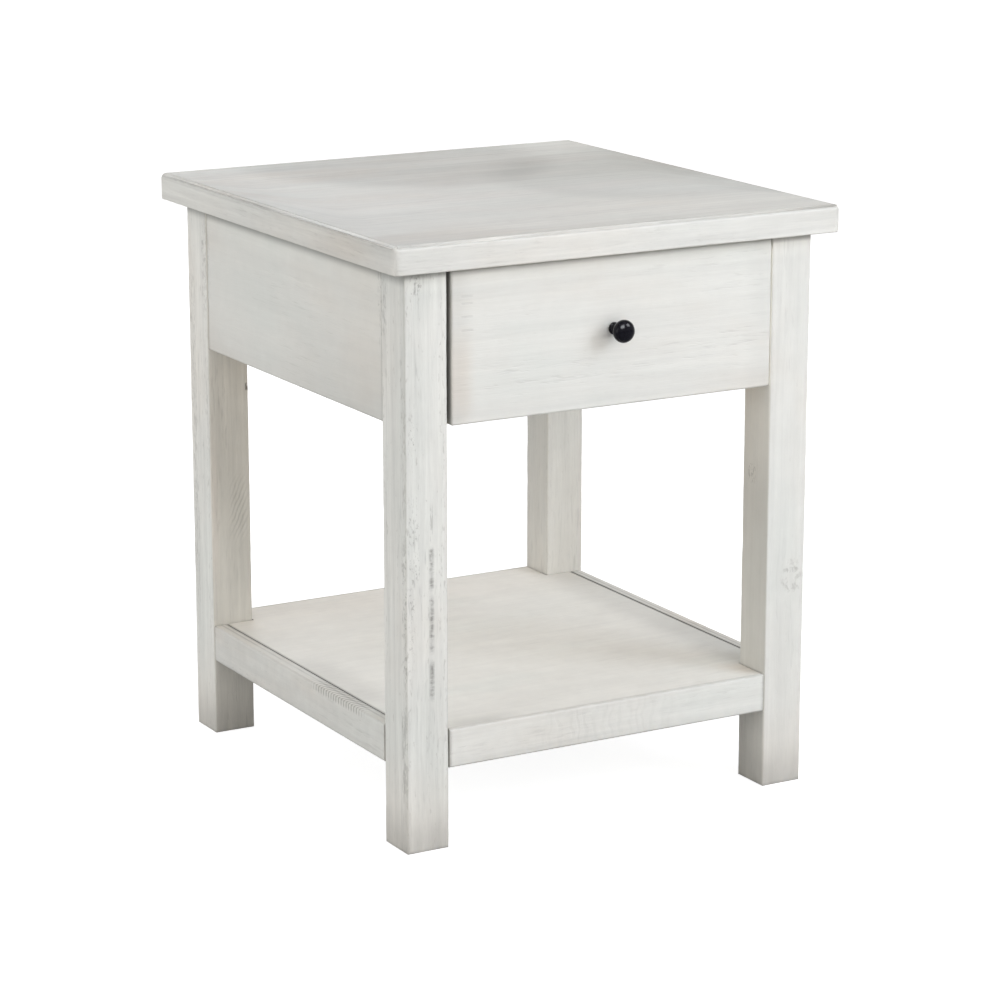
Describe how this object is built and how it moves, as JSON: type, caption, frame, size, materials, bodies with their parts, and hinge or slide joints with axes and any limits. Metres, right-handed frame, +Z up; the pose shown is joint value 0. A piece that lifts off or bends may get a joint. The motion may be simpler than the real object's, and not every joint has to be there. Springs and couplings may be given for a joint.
{
  "type": "side table",
  "caption": "Square side table with an overhanging slab top, a drawer with a round knob and a low shelf between straight square legs.",
  "frame": {"origin": "bottom centre of the closed table's bounding box, on the floor under the feet, with the knob counted in the depth", "axes": "+Z up; -Y the way the drawer opens; +X to the right for someone facing the drawer"},
  "size_m": [0.51, 0.54, 0.61],
  "materials": {
    "whitewashed_pine": "whitewashed, brushed, satin",
    "bare_pine": "sanded, unfinished",
    "plywood": "sanded, unfinished",
    "beech_dowel": "fluted, unfinished",
    "zinc_screws": "zinc plated",
    "zinc_slide": "rolled and zinc plated",
    "cage_steel": "pressed, greased",
    "bearing_steel": "polished",
    "black_knob": "satin black",
    "bumper_rubber": "matt"
  },
  "bodies": {
    "frame": {"top_panel": "whitewashed_pine", "leg_front_left": "whitewashed_pine", "leg_front_right": "whitewashed_pine", "leg_rear_left": "whitewashed_pine", "leg_rear_right": "whitewashed_pine", "apron_left": "whitewashed_pine", "apron_right": "whitewashed_pine", "apron_rear": "whitewashed_pine", "shelf_panel": "whitewashed_pine", "shelf_rail_front": "whitewashed_pine", "shelf_rail_rear": "whitewashed_pine", "shelf_rail_left": "whitewashed_pine", "shelf_rail_right": "whitewashed_pine", "front_top_rail": "bare_pine", "front_bottom_rail": "bare_pine", "top_cleat_left": "bare_pine", "top_cleat_right": "bare_pine", "top_cleat_rear": "bare_pine", "slide_spacer_left": "bare_pine", "slide_spacer_right": "bare_pine", "corner_block_left": "bare_pine", "corner_block_right": "bare_pine", "apron_dowels": "beech_dowel", "rail_dowels": "beech_dowel", "shelf_dowels": "beech_dowel", "top_screws": "zinc_screws", "cleat_screws": "zinc_screws", "spacer_screws": "zinc_screws", "corner_bolts": "zinc_screws", "corner_nuts": "zinc_screws", "shelf_screws": "zinc_screws", "slide_frame_screws": "zinc_screws", "slide_outer_left": "zinc_slide", "slide_outer_right": "zinc_slide", "slide_bumpers": "bumper_rubber"},
    "drawer": {"drawer_front": "whitewashed_pine", "drawer_box_front": "bare_pine", "drawer_side_left": "bare_pine", "drawer_side_right": "bare_pine", "drawer_back": "bare_pine", "drawer_bottom": "plywood", "knob": "black_knob", "knob_screw": "zinc_screws", "slide_inner_left": "zinc_slide", "slide_inner_right": "zinc_slide", "slide_drawer_screws": "zinc_screws", "drawer_front_screws": "zinc_screws", "drawer_box_screws": "zinc_screws"},
    "left_cage": {"ball_cage_left": "cage_steel", "slide_balls_left": "bearing_steel"},
    "right_cage": {"ball_cage_right": "cage_steel", "slide_balls_right": "bearing_steel"}
  },
  "joints": [
    {"name": "drawer_slide", "type": "slide", "parent": "frame", "child": "drawer", "axis": [0, -1, 0], "range_m": [0, 0.28]},
    {"name": "left_cage_roll", "type": "slide", "parent": "frame", "child": "left_cage", "axis": [0, -1, 0], "range_m": [0, 0.14]},
    {"name": "right_cage_roll", "type": "slide", "parent": "frame", "child": "right_cage", "axis": [0, -1, 0], "range_m": [0, 0.14]}
  ],
  "couplings": [
    {"joint": "left_cage_roll", "follows": "drawer_slide", "ratio": 0.5},
    {"joint": "right_cage_roll", "follows": "drawer_slide", "ratio": 0.5}
  ]
}
